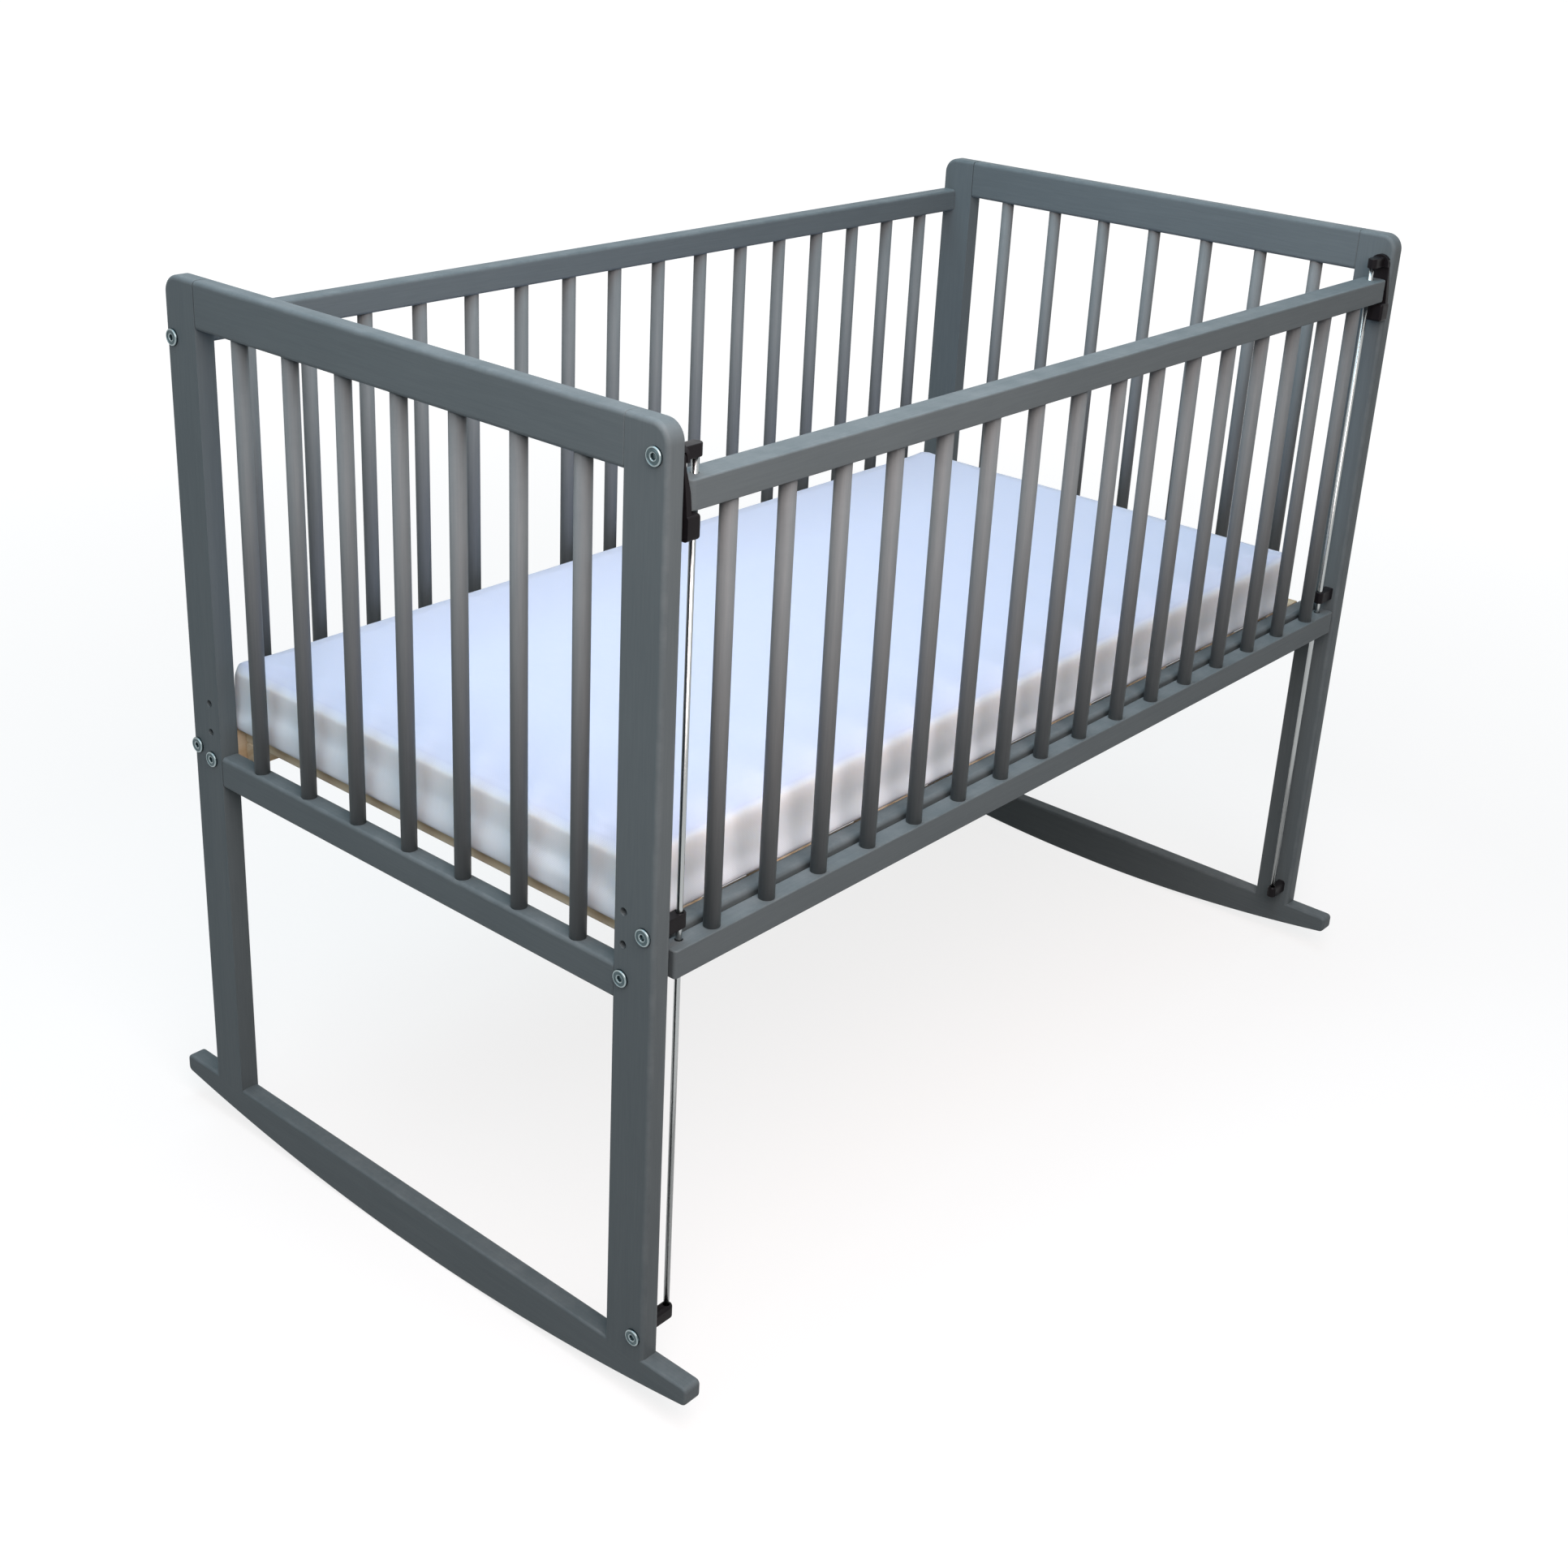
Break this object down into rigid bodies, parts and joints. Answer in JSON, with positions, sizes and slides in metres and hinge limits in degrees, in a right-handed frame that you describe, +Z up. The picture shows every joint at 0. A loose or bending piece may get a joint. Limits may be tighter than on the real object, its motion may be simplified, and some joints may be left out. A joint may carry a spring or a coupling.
{
  "type": "bedside crib",
  "caption": "Small grey bedside crib on rocker feet: spindle sides, one drop side that slides on steel rods with sprung latches, slatted base and mattress.",
  "frame": {"origin": "on the floor, under the middle of the crib", "axes": "+X along the length, +Y from the drop side to the fixed rear side, +Z up"},
  "size_m": [0.96, 0.59, 0.724],
  "materials": {
    "grey_lacquer": "satin grey lacquer on hardwood",
    "natural_wood": "bare softwood, planed",
    "steel": "zinc-plated round bar",
    "black_plastic": "moulded, fine satin",
    "mattress_cover": "pale quilt-free ticking over foam"
  },
  "bodies": {
    "frame": {"front_post_left": "grey_lacquer", "rear_post_left": "grey_lacquer", "end_top_rail_left": "grey_lacquer", "end_spindle_rack_left": "grey_lacquer", "rocker_left": "grey_lacquer", "front_post_right": "grey_lacquer", "rear_post_right": "grey_lacquer", "end_top_rail_right": "grey_lacquer", "end_spindle_rack_right": "grey_lacquer", "rocker_right": "grey_lacquer", "rear_top_rail": "grey_lacquer", "rear_lower_rail": "grey_lacquer", "rear_spindle_01": "grey_lacquer", "rear_spindle_02": "grey_lacquer", "rear_spindle_03": "grey_lacquer", "rear_spindle_04": "grey_lacquer", "rear_spindle_05": "grey_lacquer", "rear_spindle_06": "grey_lacquer", "rear_spindle_07": "grey_lacquer", "rear_spindle_08": "grey_lacquer", "rear_spindle_09": "grey_lacquer", "rear_spindle_10": "grey_lacquer", "rear_spindle_11": "grey_lacquer", "rear_spindle_12": "grey_lacquer", "rear_spindle_13": "grey_lacquer", "rear_spindle_14": "grey_lacquer", "rear_spindle_15": "grey_lacquer", "rear_spindle_16": "grey_lacquer", "rod_head_left": "black_plastic", "rod_guide_left": "black_plastic", "rod_foot_left": "black_plastic", "guide_rod_left": "steel", "rod_head_right": "black_plastic", "rod_guide_right": "black_plastic", "rod_foot_right": "black_plastic", "guide_rod_right": "steel", "base_front_bar": "grey_lacquer", "base_rear_bar": "natural_wood", "base_slats": "natural_wood", "mattress": "mattress_cover"},
    "drop_side": {"drop_top_rail": "grey_lacquer", "drop_lower_rail": "grey_lacquer", "drop_spindle_01": "grey_lacquer", "drop_spindle_02": "grey_lacquer", "drop_spindle_03": "grey_lacquer", "drop_spindle_04": "grey_lacquer", "drop_spindle_05": "grey_lacquer", "drop_spindle_06": "grey_lacquer", "drop_spindle_07": "grey_lacquer", "drop_spindle_08": "grey_lacquer", "drop_spindle_09": "grey_lacquer", "drop_spindle_10": "grey_lacquer", "drop_spindle_11": "grey_lacquer", "drop_spindle_12": "grey_lacquer", "drop_spindle_13": "grey_lacquer", "drop_spindle_14": "grey_lacquer", "drop_spindle_15": "grey_lacquer", "drop_spindle_16": "grey_lacquer"},
    "latch_left_arm": {"latch_left": "black_plastic"},
    "latch_right_arm": {"latch_right": "black_plastic"}
  },
  "joints": [
    {"name": "drop_side_slide", "type": "slide", "parent": "frame", "child": "drop_side", "axis": [0, 0, 1], "range_m": [-0.2775, 0.0094]},
    {"name": "latch_left_swing", "type": "hinge", "parent": "frame", "child": "latch_left_arm", "pos_m": [-0.4615, -0.247, 0.6988], "axis": [-1, 0, 0], "range_deg": [0, 28], "stiffness_Nm_per_rad": 0.4},
    {"name": "latch_right_swing", "type": "hinge", "parent": "frame", "child": "latch_right_arm", "pos_m": [0.4615, -0.247, 0.6988], "axis": [-1, 0, 0], "range_deg": [0, 28], "stiffness_Nm_per_rad": 0.4}
  ]
}
